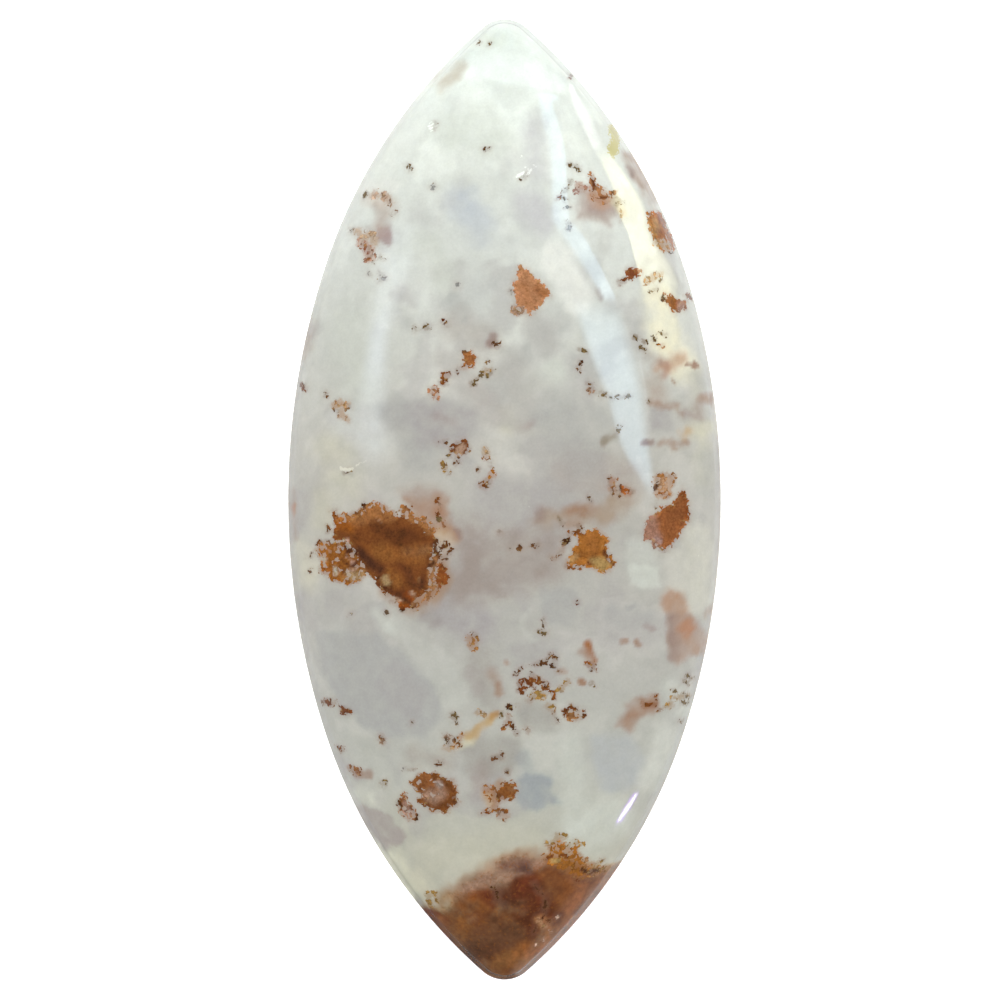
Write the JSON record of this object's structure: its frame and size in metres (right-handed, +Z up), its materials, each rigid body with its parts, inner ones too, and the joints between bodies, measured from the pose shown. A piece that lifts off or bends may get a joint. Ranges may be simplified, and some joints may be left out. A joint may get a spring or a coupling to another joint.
{
  "type": "plume agate cabochon",
  "caption": "Polished marquise cabochon of translucent plume agate with a flat back, a leaning girdle wall and a smooth domed top.",
  "frame": {"origin": "centre of the flat back", "axes": "+Y along the long axis from tip to tip, +X across the stone, +Z up through the dome"},
  "size_m": [0.022, 0.049, 0.0056],
  "materials": {
    "plume_agate": "polished, milky and translucent, with rust-brown plumes"
  },
  "bodies": {
    "root": {"agate_cabochon": "plume_agate"}
  },
  "joints": []
}
